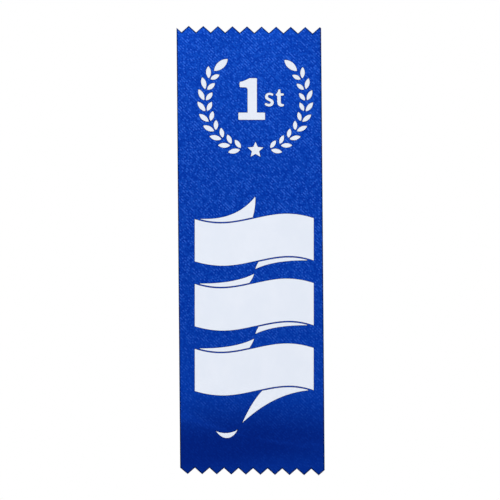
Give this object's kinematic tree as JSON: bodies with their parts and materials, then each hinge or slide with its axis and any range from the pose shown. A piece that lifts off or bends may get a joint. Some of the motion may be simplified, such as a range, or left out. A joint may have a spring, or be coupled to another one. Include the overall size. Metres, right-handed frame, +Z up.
{
  "type": "award ribbon",
  "caption": "Flat satin award ribbon with pinked ends, foil-stamped with a first-place numeral in a leaf wreath above a folded writing banner.",
  "frame": {"origin": "pin zone: the point on the back face where a pin or card holds the ribbon, on its centre line, 12 mm below the top tips", "axes": "+Z up along the ribbon's length, towards its top end. +Y out of the back face, so the printed face looks along -Y. +X to the right as the print is read."},
  "size_m": [0.0502, 0.0004, 0.1564],
  "materials": {
    "satin": "glossy woven satin, royal blue",
    "foil": "smooth matte stamped film, cool white"
  },
  "bodies": {
    "root": {"ribbon_strip": "satin", "numeral_one": "foil", "letter_s": "foil", "letter_t": "foil", "star": "foil", "left_outer_leaf_1": "foil", "left_outer_leaf_2": "foil", "left_outer_leaf_3": "foil", "left_outer_leaf_4": "foil", "left_outer_leaf_5": "foil", "left_outer_leaf_6": "foil", "left_outer_leaf_7": "foil", "left_outer_leaf_8": "foil", "left_outer_leaf_9": "foil", "left_inner_leaf_1": "foil", "left_inner_leaf_2": "foil", "left_inner_leaf_3": "foil", "left_inner_leaf_4": "foil", "left_inner_leaf_5": "foil", "left_inner_leaf_6": "foil", "left_inner_leaf_7": "foil", "left_inner_leaf_8": "foil", "left_inner_leaf_9": "foil", "right_outer_leaf_1": "foil", "right_outer_leaf_2": "foil", "right_outer_leaf_3": "foil", "right_outer_leaf_4": "foil", "right_outer_leaf_5": "foil", "right_outer_leaf_6": "foil", "right_outer_leaf_7": "foil", "right_outer_leaf_8": "foil", "right_outer_leaf_9": "foil", "right_inner_leaf_1": "foil", "right_inner_leaf_2": "foil", "right_inner_leaf_3": "foil", "right_inner_leaf_4": "foil", "right_inner_leaf_5": "foil", "right_inner_leaf_6": "foil", "right_inner_leaf_7": "foil", "right_inner_leaf_8": "foil", "right_inner_leaf_9": "foil", "left_leaf_tip": "foil", "right_leaf_tip": "foil", "banner_panel_top": "foil", "banner_panel_middle": "foil", "banner_panel_bottom": "foil", "upper_fold_right": "foil", "upper_fold_left": "foil", "lower_fold_right": "foil", "lower_fold_left": "foil", "banner_curl": "foil", "banner_tail": "foil", "banner_tail_end": "foil"}
  },
  "joints": []
}
